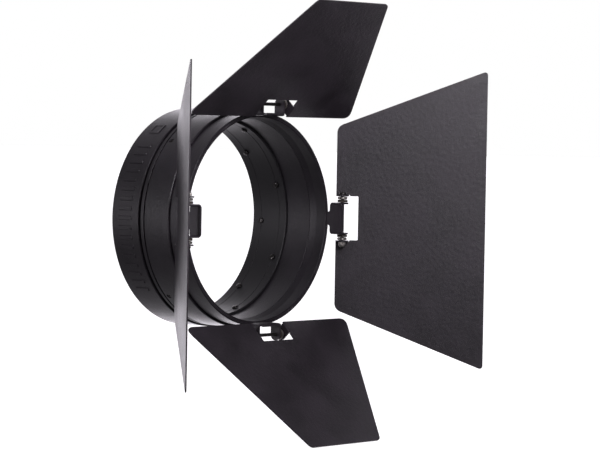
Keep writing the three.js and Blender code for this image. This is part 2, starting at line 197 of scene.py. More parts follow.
def shader_group(name, inputs, outputs):
    """A shader node group with number inputs {name: default} and number outputs [name]."""
    group = bpy.data.node_groups.new(name, "ShaderNodeTree")
    for label, default in inputs.items():
        group.interface.new_socket(label, in_out="INPUT", socket_type="NodeSocketFloat").default_value = default
    for label in outputs:
        group.interface.new_socket(label, in_out="OUTPUT", socket_type="NodeSocketFloat")
    return group, group.nodes.new("NodeGroupInput").outputs, group.nodes.new("NodeGroupOutput").inputs


def lathe_lines_group():
    """Fine rings left by a lathe: noise stretched round the beam axis, so that it changes with radius and y only."""
    group, given, out = shader_group("lathe_lines", {"Lines per Metre": 2500.0, "Unevenness": 0.3}, ["Line"])
    place = node(group, "ShaderNodeTexCoord").outputs["Object"]
    parts = node(group, "ShaderNodeSeparateXYZ", {"Vector": place}).outputs
    square_x = node(group, "ShaderNodeMath", {0: parts["X"], 1: 2.0}, operation="POWER").outputs[0]
    square_z = node(group, "ShaderNodeMath", {0: parts["Z"], 1: 2.0}, operation="POWER").outputs[0]
    both = node(group, "ShaderNodeMath", {0: square_x, 1: square_z}, operation="ADD").outputs[0]
    radius = node(group, "ShaderNodeMath", {0: both}, operation="SQRT").outputs[0]
    ring_place = node(group, "ShaderNodeCombineXYZ", {"X": radius, "Y": parts["Y"]}).outputs[0]
    line = node(
        group, "ShaderNodeTexNoise",
        {"Vector": ring_place, "Scale": given["Lines per Metre"], "Detail": 2.0, "Roughness": 0.6},
    ).outputs["Fac"]
    patch = node(group, "ShaderNodeTexNoise", {"Vector": place, "Scale": 40.0, "Detail": 2.0}).outputs["Fac"]
    mixed = node(group, "ShaderNodeMix", {0: given["Unevenness"], 2: line, 3: patch})
    group.links.new(mixed.outputs[0], out["Line"])
    return group


def edge_highlight_and_rub_group():
    """A mask of outward edges, broken up by noise: a painted highlight on powder coat, and bare steel where a tool
    has worn a screw's oxide.
    """
    group, given, out = shader_group("edge_highlight_and_rub", {"Start": 0.53, "Full": 0.62, "Patch Scale": 300.0}, ["Rub"])
    edge = node(group, "ShaderNodeNewGeometry").outputs["Pointiness"]
    ramp = node(
        group, "ShaderNodeMapRange", {"Value": edge, "From Min": given["Start"], "From Max": given["Full"]},
    ).outputs["Result"]
    place = node(group, "ShaderNodeTexCoord").outputs["Object"]
    broken = node(
        group, "ShaderNodeTexNoise", {"Vector": place, "Scale": given["Patch Scale"], "Detail": 4.0},
    ).outputs["Fac"]
    patchy = node(
        group, "ShaderNodeMapRange", {"Value": broken, "From Min": 0.42, "From Max": 0.68},
    ).outputs["Result"]
    edge_mask = node(group, "ShaderNodeMath", {0: ramp, 1: patchy}, operation="MULTIPLY").outputs[0]
    group.links.new(edge_mask, out["Rub"])
    return group


lathe_lines, edge_highlight_and_rub = lathe_lines_group(), edge_highlight_and_rub_group()


def new_material(name):
    """A material with one Principled shader wired to its output."""
    material = bpy.data.materials.new(name)
    material.use_nodes = True
    tree = material.node_tree
    tree.nodes.clear()
    shader = node(tree, "ShaderNodeBsdfPrincipled")
    target = node(tree, "ShaderNodeOutputMaterial")
    tree.links.new(shader.outputs["BSDF"], target.inputs["Surface"])
    return material, tree, shader


def placed_group(tree, group, **values):
    """Puts a shader node group in a material with its own values, given as names with _ for spaces."""
    made = node(tree, "ShaderNodeGroup", node_tree=group)
    for name, value in values.items():
        made.inputs[name.replace("_", " ")].default_value = value
    return made.outputs


def blended(tree, factor, low, high):
    """A colour that goes from low to high with a factor. Each end is three numbers, or another node's colour."""
    ends = [end if isinstance(end, bpy.types.NodeSocket) else (*end, 1) for end in (low, high)]
    return node(tree, "ShaderNodeMix", {0: factor, 6: ends[0], 7: ends[1]}, data_type="RGBA").outputs[2]


def between(tree, value, low, high, from_low=0.3, from_high=0.7):
    """A number that goes from low to high as value goes from from_low to from_high."""
    return node(
        tree, "ShaderNodeMapRange",
        {"Value": value, "From Min": from_low, "From Max": from_high, "To Min": low, "To Max": high},
    ).outputs["Result"]


def liner_paint():
    """Thin satin black paint on turned aluminium, with the tool's rings just showing through."""
    material, tree, shader = new_material("liner_paint")
    ring = placed_group(tree, lathe_lines, Lines_per_Metre=2200.0, Unevenness=0.35)["Line"]
    colour = blended(tree, ring, (0.0050, 0.0046, 0.0055), (0.0110, 0.0100, 0.0120))
    tree.links.new(colour, shader.inputs["Base Color"])
    tree.links.new(between(tree, ring, 0.42, 0.56), shader.inputs["Roughness"])
    bump = node(tree, "ShaderNodeBump", {"Strength": 0.35, "Distance": 0.00004, "Height": ring})
    tree.links.new(bump.outputs["Normal"], shader.inputs["Normal"])
    return material


lathe_angles = evenly_round(240)
liner_wall, scribe_half, scribe_depth = 2.6, 0.45, 0.28
liner_low, liner_high = in_mm(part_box("liner"))
liner_outer, liner_inner, liner_front = liner_high[0], liner_high[0] - liner_wall, liner_low[1]
screw_rows = {"front": -32.45, "rear": -10.0}
scribed = []
for y in screw_rows.values():
    scribed += [
        (liner_inner, y - scribe_half, 0.1), (liner_inner + scribe_depth, y, 0.08),
        (liner_inner, y + scribe_half, 0.1),
    ]
liner_profile = eased(
    [(liner_inner, 0, 0.6), (liner_outer, 0, 0.2), (liner_outer, liner_front, 0.2), (liner_inner, liner_front, 0.6)]
    + scribed
)
liner = piece("liner_sleeve", [(turned(liner_profile, lathe_angles), True, True)])
fit(liner, "drum", "liner_black", liner_paint(), "liner")


# ---- Rear shell ----
# The cast aluminium band that goes over the lamp head, powder coated black. Two runs of raised bars give a grip
# when the attachment is pushed on or turned, and a blank square pad is cast in between them.
def powder_grain_group():
    """The skin of a powder coat: a fine grain on a soft orange peel, with slow drifts in its colour."""
    group, given, out = shader_group(
        "powder_grain",
        {"Grain Scale": 1500.0, "Peel Scale": 420.0, "Peel Share": 0.4},
        ["Height", "Grain", "Drift"],
    )
    place = node(group, "ShaderNodeTexCoord").outputs["Object"]
    grain = node(
        group, "ShaderNodeTexNoise",
        {"Vector": place, "Scale": given["Grain Scale"], "Detail": 3.0, "Roughness": 0.65},
    ).outputs["Fac"]
    peel = node(
        group, "ShaderNodeTexVoronoi",
        {"Vector": place, "Scale": given["Peel Scale"], "Smoothness": 1.0, "Randomness": 1.0},
        feature="SMOOTH_F1",
    ).outputs["Distance"]
    drift = node(
        group, "ShaderNodeTexNoise",
        {"Vector": place, "Scale": 26.0, "Detail": 3.0, "Roughness": 0.55, "Distortion": 0.4},
    ).outputs["Fac"]
    height = node(group, "ShaderNodeMix", {0: given["Peel Share"], 2: grain, 3: peel}).outputs[0]
    for label, value in (("Height", height), ("Grain", grain), ("Drift", drift)):
        group.links.new(value, out[label])
    return group


powder_grain = powder_grain_group()


def powder_coat(name, deep, pale, edge_highlight, smooth, dull, grain_per_m, peel_per_m, relief):
    """Powder coat: colour and dullness drift slowly and with the grain, and a paler colour on outward edges is a
    painted highlight.
    """
    material, tree, shader = new_material(name)
    skin = placed_group(tree, powder_grain, Grain_Scale=grain_per_m, Peel_Scale=peel_per_m)
    # Outward edges get a paler colour: a painted highlight along them, broken up by noise.
    edge_mask = placed_group(tree, edge_highlight_and_rub, Start=0.54, Full=0.68)["Rub"]
    tone = node(tree, "ShaderNodeMix", {0: 0.45, 2: skin["Drift"], 3: skin["Grain"]}).outputs[0]
    colour = blended(tree, between(tree, tone, 0.0, 1.0, 0.40, 0.60), deep, pale)
    tree.links.new(blended(tree, edge_mask, colour, edge_highlight), shader.inputs["Base Color"])
    tree.links.new(between(tree, tone, smooth, dull), shader.inputs["Roughness"])
    bump = node(tree, "ShaderNodeBump", {"Strength": 0.8, "Distance": relief, "Height": skin["Height"]})
    tree.links.new(bump.outputs["Normal"], shader.inputs["Normal"])
    return material


# Each coat's third colour is painted onto outward edges as a highlight.
cast_coat = powder_coat(
    "cast_powder_coat", deep=(0.0085, 0.0070, 0.0092), pale=(0.0175, 0.0142, 0.0185), edge_highlight=(0.055, 0.048, 0.056),
    smooth=0.32, dull=0.48, grain_per_m=1200.0, peel_per_m=360.0, relief=0.00022,
)

rear_low, rear_high = in_mm(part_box("rear_shell"))
bar_half, bar_rise, bar_pitch, bars_each_side = (1.7, 8.0), 0.6, 5.04, 17
rear_radius, rear_front = rear_high[0] - bar_rise, rear_low[1]
spigot_bore, socket_radius, socket_floor = 90.5, 95.0, -24.1
bar_y = rear_front / 2
bar_steps = bar_pitch * (np.arange(bars_each_side) - bars_each_side // 2)
bar_turns = np.radians(np.concatenate([side + bar_steps for side in (0, 180)]))
pad_turn, pad_half, field_half, field_depth = math.radians(127), (6.0, 6.0), (4.4, 4.4), 0.35


def off_centre(angles, centres, radius):
    """Distance round a cylinder from the nearest of some centres, signed, in millimetres."""
    gap = (np.asarray(angles)[:, None] - np.asarray(centres)[None] + math.pi) % (2 * math.pi) - math.pi
    nearest = np.abs(gap).argmin(1)
    return radius * gap[np.arange(len(gap)), nearest]


def round_rectangle(across, along, half, corner):
    """Signed distance to a rectangle with round corners, less than nothing inside it."""
    out_across, out_along = np.abs(across) - half[0] + corner, np.abs(along) - half[1] + corner
    outside = np.hypot(np.maximum(out_across, 0), np.maximum(out_along, 0))
    return outside + np.minimum(np.maximum(out_across, out_along), 0) - corner


def soft_step(value):
    """Nothing below 0, one above 1, and three squares less two cubes between them."""
    value = np.clip(value, 0, 1)
    return value * value * (3 - 2 * value)


def inside(gap):
    """One within an outline and nothing past it, with a soft step from edge_half inside it to edge_half outside."""
    return soft_step((edge_half - gap) / (2 * edge_half))


def round_lines(*angles):
    """Grid lines round a shell: all the angles given, brought within one turn, sorted, and each kept once."""
    return np.unique(np.round(np.concatenate(angles) % (2 * math.pi), 6))


# A raised shape's edge gets close grid lines at these distances from it, and the plain wall has one each 1.5 degrees.
# The rows on the wall go in after the points that eased gives the corners before it, eight to a corner.
edge_half, corner_points = 0.16, 8
edge_lines = np.array([0.34, edge_half, 0.05, -0.05, -edge_half, -0.34, -0.8])
field_lines = field_half[0] + edge_lines[:6]
bar_lines = np.concatenate([[0.0], bar_half[0] + edge_lines, -bar_half[0] - edge_lines]) / rear_radius
pad_steps = np.concatenate([[0.0], pad_half[0] + edge_lines, field_lines])
pad_lines = np.concatenate([pad_steps, -pad_steps]) / rear_radius
plain_lines = np.radians(np.arange(0, 360, 1.5))
bar_clear, pad_clear = 2.1, 6.6
clear_of_bars = np.abs(off_centre(plain_lines, bar_turns, rear_radius)) > bar_clear
clear_of_pad = np.abs(off_centre(plain_lines, [pad_turn], rear_radius)) > pad_clear
shell_angles = round_lines(
    plain_lines[clear_of_bars & clear_of_pad], (bar_turns[:, None] + bar_lines).ravel(), pad_turn + pad_lines,
)

wall_steps = np.concatenate([[0.0, 2.5, 12.0], bar_half[1] + edge_lines, pad_half[0] + edge_lines, field_lines])
wall_y = np.unique(np.round(np.concatenate([bar_y + wall_steps, bar_y - wall_steps]), 4))
wall_rows = np.stack([np.full(len(wall_y), rear_radius), wall_y], -1)
rear_corners = [
    (spigot_bore, socket_floor, 0.2), (socket_radius, socket_floor, 0.15), (socket_radius, rear_front, 0.2),
    (rear_radius, rear_front, 0.7), (rear_radius, 0, 0.9), (spigot_bore, 0, 0.3),
]
wall_start = 4 * corner_points
on_wall = slice(wall_start, wall_start + len(wall_y))
rear_surface = turned(np.insert(eased(rear_corners), wall_start, wall_rows, axis=0), shell_angles)
along = wall_y[None] - bar_y
bar_gap = round_rectangle(off_centre(shell_angles, bar_turns, rear_radius)[:, None], along, bar_half, 0.9)
pad_across = off_centre(shell_angles, [pad_turn], rear_radius)[:, None]
pad_gap = round_rectangle(pad_across, along, pad_half, 1.0)
field_gap = round_rectangle(pad_across, along, field_half, 0.6)
rise = bar_rise * np.maximum(inside(bar_gap), inside(pad_gap)) - field_depth * inside(field_gap)
stretch = 1 + rise / rear_radius
rear_surface[:, on_wall, 0] *= stretch
rear_surface[:, on_wall, 2] *= stretch
rear_band = piece("rear_cast_band", [(rear_surface, True, True)])
fit(rear_band, "drum", "powder_coat_cast", cast_coat, "rear_shell")


# ---- Front shell ----
# The smooth cast band in front of the rear shell, joined to it by a spigot, with a raised rib between two turned
# grooves. The rim runs in a slot in its front face, and four threaded holes round it take the guide screws.
front_low, front_high = in_mm(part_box("front_shell"))
shell_radius, shell_front = front_high[0], front_low[1]
guide_y = sum(in_mm(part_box("guide_screw_1")))[1] / 2
guide_angles = (45, 135, 225, 315)
guide_turns = np.radians(guide_angles)
hole_half, patch_half = 2.56, 3.5
hole_steps = np.array([0, 0.8, 1.5, 2.0, 2.08, 2.3, 2.46, hole_half, 3.0, patch_half])


def bored_round(across, along):
    """Draws the square rings of grid lines round a hole in to circles of the same half width.

    A point keeps its direction. Its distance becomes the larger of its two offsets, fully inside the hole and
    less and less up to the edge of the patch, where the grid is left as it was. The third result is how far the
    point lies below the shell's surface: a short chamfer, then the hole's wall and floor.
    """
    ring = np.maximum(np.abs(across), np.abs(along))
    reach = np.maximum(np.hypot(across, along), 1e-9)
    share = 1 - soft_step((ring - hole_half) / (patch_half - hole_half))
    scale = np.where(ring < patch_half, 1 - share + share * ring / reach, 1)
    depth = np.interp(ring, [2.08, 2.3, 2.46], [1.9, 0.14, 0.0])
    return across * scale, along * scale, depth


hole_lines = np.concatenate([hole_steps, -hole_steps]) / shell_radius
clear_of_holes = np.abs(off_centre(plain_lines, guide_turns, shell_radius)) > patch_half + 0.4
front_angles = round_lines(plain_lines[clear_of_holes], (guide_turns[:, None] + hole_lines).ravel())
front_wall_y = np.unique(np.round(np.concatenate([guide_y - hole_steps, guide_y + hole_steps, [-64, -57, -51]]), 4))
mouth_radius, mouth_end, spigot_radius, spigot_end = 89.8, -40.8, 94.7, -24.4
slot_inner, slot_outer, slot_floor = 91.8, 93.9, -37.5
groove_radius, front_groove, rear_groove = 95.6, (-38.9, -37.7), (-33.9, -32.7)
front_corners = [
    (mouth_radius, shell_front, 0.3), (slot_inner, shell_front, 0.2), (slot_inner, slot_floor, 0.2),
    (slot_outer, slot_floor, 0.2), (slot_outer, shell_front, 0.2), (shell_radius, shell_front, 0.9),
    (shell_radius, front_groove[0], 0.3), (groove_radius, front_groove[0], 0.25),
    (groove_radius, front_groove[1], 0.25), (shell_radius, front_groove[1], 0.45),
    (shell_radius, rear_groove[0], 0.45), (groove_radius, rear_groove[0], 0.25),
    (groove_radius, rear_groove[1], 0.2), (spigot_radius, rear_groove[1], 0.2),
    (spigot_radius, spigot_end, 0.3), (spigot_bore, spigot_end, 0.3),
    (spigot_bore, mouth_end, 0.15), (mouth_radius, mouth_end, 0.2),
]
front_rows = np.stack([np.full(len(front_wall_y), shell_radius), front_wall_y], -1)
wall_start = 6 * corner_points
on_wall = slice(wall_start, wall_start + len(front_wall_y))
front_surface = turned(np.insert(eased(front_corners), wall_start, front_rows, axis=0), front_angles)
across = off_centre(front_angles, guide_turns, shell_radius)[:, None]
new_across, new_along, depth = bored_round(
    np.broadcast_to(across, (len(front_angles), len(front_wall_y))),
    np.broadcast_to(front_wall_y[None] - guide_y, (len(front_angles), len(front_wall_y))),
)
moved = front_angles[:, None] + (new_across - across) / shell_radius
front_surface[:, on_wall, 0] = (shell_radius - depth) * np.cos(moved)
front_surface[:, on_wall, 1] = guide_y + new_along
front_surface[:, on_wall, 2] = (shell_radius - depth) * np.sin(moved)
front_band = piece("front_cast_band", [(front_surface, True, True)])
fit(front_band, "drum", "powder_coat_cast", cast_coat, "front_shell")


# ---- Liner screws ----
# Sixteen black M3 pan head screws with a cross recess, in two staggered rows. They go out through the liner
# into the shells and hold the drum together.
def lofted(outlines, heights, angles):
    """A stack of outlines about one axis: x is outline times cosine, y is outline times sine, and z is height."""
    outlines = np.broadcast_to(np.asarray(outlines, float), (len(heights), len(angles)))
    heights = np.asarray(heights, float)[:, None] + 0 * outlines
    return np.stack([outlines * np.cos(angles), outlines * np.sin(angles), heights], -1)


def stand(points, x_axis, y_axis, z_axis, origin):
    """Puts points worked out on their own axes into place: origin, plus each axis times its coordinate."""
    return points @ np.array([x_axis, y_axis, z_axis], float) + np.asarray(origin, float)


def round_to(points, turn):
    """Turns points drawn at the top of the ring about Y, to a number of degrees from +X towards +Z."""
    angle = math.radians(90 - turn)
    x, y, z = np.moveaxis(points, -1, 0)
    return np.stack([x * math.cos(angle) + z * math.sin(angle), y, z * math.cos(angle) - x * math.sin(angle)], -1)


def black_oxide():
    """Steel blackened in an oxide bath and oiled: dark, slightly patchy, bare and bright where a tool has worn
    through.
    """
    material, tree, shader = new_material("black_oxide_steel")
    line = placed_group(tree, lathe_lines, Lines_per_Metre=5200.0, Unevenness=0.6)["Line"]
    edge_mask = placed_group(tree, edge_highlight_and_rub, Start=0.53, Full=0.66, Patch_Scale=900.0)["Rub"]
    colour = blended(tree, between(tree, line, 0.0, 1.0), (0.040, 0.038, 0.037), (0.085, 0.080, 0.078))
    tree.links.new(blended(tree, edge_mask, colour, (0.42, 0.41, 0.40)), shader.inputs["Base Color"])
    tree.links.new(between(tree, line, 0.24, 0.40), shader.inputs["Roughness"])
    shader.inputs["Metallic"].default_value = 0.9
    bump = node(tree, "ShaderNodeBump", {"Strength": 0.3, "Distance": 0.00003, "Height": line})
    tree.links.new(bump.outputs["Normal"], shader.inputs["Normal"])
    return material


oxide = black_oxide()
screw_angles = evenly_round(64)
head_radius, head_height, head_gap, screw_bite = 2.8, 1.6, 0.3, 2.8
crown, screw_tip = liner_inner - head_gap - head_height, spigot_bore + screw_bite
cross = 0.42 + 0.98 * np.exp(-((np.sin(2 * screw_angles) / 0.40) ** 2))


def domed(radius):
    """Height of the pan head's crown at a radius: a shallow ellipse that falls 0.7 at the head's edge."""
    return 0.85 * (1 - np.sqrt(1 - 0.97 * (np.minimum(radius, head_radius) / head_radius) ** 2))


def pan_head_screw():
    """Outlines from the floor of the recess, up its walls, over the crown, under the head and down the shank."""
    floor = 1.05
    rings = [(0 * cross, floor), (0.45 * cross, floor), (0.86 * cross, 0.62), (0.97 * cross, domed(cross) + 0.05)]
    rings += [(cross + 0.06, domed(cross + 0.06))]
    rings += [(cross + share * (2.15 - cross), None) for share in (0.35, 0.7)]
    rings = [(outline, domed(outline) if height is None else height) for outline, height in rings]
    rings += [(radius + 0 * cross, domed(radius)) for radius in (2.15, 2.4, 2.6, 2.72, 2.785)]
    rings += [(radius + 0 * cross, height) for radius, height in (
        (head_radius, 0.86), (head_radius, 1.45), (2.72, 1.58), (1.6, head_height), (1.5, 1.7),
        (1.5, screw_tip - crown - 0.4),
        (1.15, screw_tip - crown), (0, screw_tip - crown),
    )]
    points = np.stack([outline for outline, _ in rings])
    heights = np.stack([height + 0 * cross for _, height in rings])
    return np.stack([points * np.cos(screw_angles), points * np.sin(screw_angles), heights], -1)


screw_shape = pan_head_screw()
drum_turn, row_stagger = -3, 22.5
for row, y in screw_rows.items():
    first = drum_turn + (row_stagger if row == "front" else 0)
    for number in range(8):
        spin = math.radians(37 * number + (11 if row == "front" else 0))
        x_axis, y_axis = (math.cos(spin), math.sin(spin), 0), (-math.sin(spin), math.cos(spin), 0)
        upright = stand(screw_shape, x_axis, y_axis, (0, 0, 1), (0, y, crown))
        head = piece(f"pan_head_{row}_{number + 1}", [(round_to(upright, first + 45 * number), False, True)])
        fit(head, "drum", "black_screw", oxide, f"liner_screw_{row}_{number + 1}")


# ---- Guide screws ----
# Four M4 socket set screws in the front shell. Their tips run in a groove in the hinge hoop, which keeps the
# rim in the drum while it turns.
def six_sided(across_corners, angles):
    """A hexagon's outline: half its width across the flats, over the cosine of the angle from the nearest flat."""
    turn = (angles + math.pi / 6) % (math.pi / 3) - math.pi / 6
    return across_corners * math.cos(math.pi / 6) / np.cos(turn)


set_angles = evenly_round(48)
socket = six_sided(1.12, set_angles)
guide_recess = 0.6
guide_tip, guide_top = 93.3, shell_radius - guide_recess
set_rings = [
    (0 * socket, 1.7), (0.94 * socket, 1.7), (socket, 1.55), (socket, 0.1), (socket + 0.07, 0.02),
    (1.6 + 0 * socket, 0.0), (1.72 + 0 * socket, 0.02), (1.96 + 0 * socket, 0.26), (2.0 + 0 * socket, 0.4),
    (2.0 + 0 * socket, 2.5), (1.9 + 0 * socket, 2.7), (1.4 + 0 * socket, guide_top - guide_tip),
    (0 * socket, guide_top - guide_tip),
]
set_screw = lofted(np.stack([ring for ring, _ in set_rings]), [height for _, height in set_rings], set_angles)
upright = stand(set_screw, (1, 0, 0), (0, 1, 0), (0, 0, -1), (0, guide_y, guide_top))
for number, turn in enumerate(guide_angles):
    grub = piece(f"set_screw_{number + 1}", [(round_to(upright, turn), False, True)], 30)
    fit(grub, "drum", "black_screw", oxide, f"guide_screw_{number + 1}")


# ---- Hinge hoop ----
# One hoop of 1.5 mm steel sheet that turns in the slot, powder coated. Four T-shaped tabs stand forward from
# its edge: each has its two ends bent up as lugs for a bolt, and its front edge turned out as a stiffener.
sheet_coat = powder_coat(
    "sheet_powder_coat", deep=(0.0130, 0.0102, 0.0134), pale=(0.0265, 0.0212, 0.0272), edge_highlight=(0.060, 0.053, 0.060),
    smooth=0.36, dull=0.54, grain_per_m=1000.0, peel_per_m=300.0, relief=0.00030,
)


def sheet_metal(made, thickness, edge):
    """Gives a mid-surface its thickness, half to each side, and rounds the cut edges."""
    skin = made.modifiers.new("thickness", "SOLIDIFY")
    skin.thickness, skin.offset, skin.use_even_offset = thickness / 1000, 0, True
    eased_edge = made.modifiers.new("cut_edges", "BEVEL")
    eased_edge.width, eased_edge.segments, eased_edge.limit_method = edge / 1000, 2, "ANGLE"
    eased_edge.angle_limit, eased_edge.harden_normals = math.radians(50), True


rim_low, rim_high = in_mm(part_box("rim_band"))
rim_front = rim_low[1]
bolt_low, bolt_high = in_mm(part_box("bolt_top"))
bolt_y, bolt_out = (bolt_low[1] + bolt_high[1]) / 2, (bolt_low[2] + bolt_high[2]) / 2
bolt_ahead = rim_front - bolt_y
hoop_middle, hoop_back, hoop_sheet, tab_height = 92.85, -37.8, 1.5, 92.65
flat_half, bend, lug_radius, narrowing_from, narrowing_run = 12.0, 1.75, 5.4, 11.2, 3.2
tab_back, tab_front, lip_length, lip_rise, neck_half, neck_flare = 4.2, 18.0, 3.8, 1.2, 6, 2

# Half of the bracket's path from its middle to a lug's end: along the flat, round the bend, and up the lug.
flat_x = np.array([0, 2, 4, 6, 7, 8, 9.5, 11, 11.7, flat_half])
bend_turn = np.linspace(0, math.pi / 2, 8)[1:]
lug_low, lug_end = np.linspace(tab_height + bend, bolt_out, 6)[1:], np.linspace(0, math.pi / 2, 11)[1:]
half_x = np.concatenate([
    flat_x, flat_half + bend * np.sin(bend_turn), np.full(len(lug_low) + len(lug_end), flat_half + bend),
])
half_z = np.concatenate([
    np.full(len(flat_x), tab_height), tab_height + bend * (1 - np.cos(bend_turn)), lug_low,
    bolt_out + lug_radius * np.sin(lug_end),
])
half_width = np.concatenate([np.full(len(half_x) - len(lug_end), lug_radius), lug_radius * np.cos(lug_end)])
half_run = np.concatenate([[0], np.cumsum(np.hypot(np.diff(half_x), np.diff(half_z)))])
path_x = np.concatenate([-half_x[:0:-1], half_x])
path_z, path_width, path_run = (np.concatenate([half[:0:-1], half]) for half in (half_z, half_width, half_run))


def hinge_tab():
    """The bracket and its neck, as the middle of the sheet.

    Bracket: each point of the path across it is carried forwards from a back edge to a front edge. On the flat
    these are tab_back and tab_front ahead of the rim; past the bend they become the lug's two sides, which a
    circle about the bolt closes. The front edge is raised smoothly where it lies on the flat.
    Neck: straight sides that flare by a quarter circle into the bracket's back edge.
    """
    share = np.array([0, 0.12, 0.3, 0.5, 0.68, 0.75, 0.8, 0.88, 0.95, 1])
    bent = soft_step((path_run - narrowing_from) / narrowing_run)
    back = (tab_back * (1 - bent) + (bolt_ahead - path_width) * bent)[:, None]
    front = (tab_front * (1 - bent) + (bolt_ahead + path_width) * bent)[:, None]
    ahead = back + share * (front - back)
    lip = lip_rise * soft_step((ahead - tab_front + lip_length) / lip_length) * (1 - bent[:, None])
    bracket = np.stack([path_x[:, None] + 0 * ahead, rim_front - ahead, path_z[:, None] + lip], -1)
    run = np.array([-4, -1, 1.2, tab_back - neck_flare, 2.5, 3.0, 3.5, 3.9, tab_back])
    into_flare = np.maximum(run - tab_back + neck_flare, 0)
    width = neck_half + neck_flare - np.sqrt(np.maximum(neck_flare ** 2 - into_flare ** 2, 0))
    spread = np.array([-8, -7, -6, -4, -2, 0, 2, 4, 6, 7, 8]) / 8
    neck = np.stack([
        width[:, None] * spread, rim_front - run[:, None] + 0 * spread, tab_height + 0 * width[:, None] * spread,
    ], -1)
    return bracket, neck


hoop_edges = [(hoop_middle, y) for y in (rim_front, rim_front + hoop_sheet, -62, -39.5, hoop_back)]
hoop_band = turned(hoop_edges, lathe_angles)
tab_grids = [(round_to(grid, turn), False, False) for turn in (90, 0, -90, 180) for grid in hinge_tab()]
hoop = piece("hinge_hoop_sheet", [(hoop_band, True, False), *tab_grids], 50)
sheet_metal(hoop, hoop_sheet, 0.22)
fit(hoop, "rim", "powder_coat_sheet", sheet_coat, "hinge_hoop")


# ---- Rim bands ----
# Two rolled bands closed on the hoop, one outside and one inside it. The inner one ends in a sloping lip
# that leads the beam past the slot.
def rolled_band(name, node_name, corners):
    """A closed profile swept round the beam axis, coated as the cast shells are."""
    band = piece(name, [(turned(eased(corners), lathe_angles), True, True)])
    fit(band, "rim", "powder_coat_cast", cast_coat, node_name)


rim_radius, rim_back = rim_high[0], rim_high[1]
lip_radius, lip_back, lip_slope = 90.8, in_mm(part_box("inner_band"))[1][1], 7
rolled_band("rim_outer_band", "rim_band", [
    (slot_outer, rim_front, 0.15), (rim_radius, rim_front, 0.6), (rim_radius, rim_back, 0.6),
    (slot_outer, rim_back, 0.15),
])
rolled_band("rim_inner_band", "inner_band", [
    (lip_radius, rim_front, 0.5), (slot_inner, rim_front, 0.2), (slot_inner, lip_back, 0.2),
    (mouth_radius, lip_back, 0.3), (lip_radius, lip_back - lip_slope, 1.5),
])


# ---- Leaves ----
# Four leaves of 1.2 mm steel sheet, powder coated. The side leaves widen outwards and the end leaves narrow.
# Each is notched to clear its tab, and two ears bent up beside the notch take the bolt.
overhang, leaf_length, notch_half, notch_floor = 6.4, 137.0, 20.2, 14.0
ear_radius, ear_middle, ear_bend, notch_corner = 5.6, 20.8, 1.2, 1
leaf_sheet = 1.2
leaf_shapes = {
    "side": {"near": 84.0, "far": 137.0, "corners": (6.0, 5.0), "offset": 9.05},
    "end": {"near": 106.5, "far": 46.0, "corners": (10.0, 4.0), "offset": -9.05},
}


def quarter_curve(start, corner, end, count=11):
    """A corner's curve: start, corner and end weighted by (1 - t) squared, 2 t (1 - t) and t squared."""
    t = np.linspace(0, 1, count)[:, None]
    return (1 - t) ** 2 * np.array(start) + 2 * t * (1 - t) * np.array(corner) + t ** 2 * np.array(end)


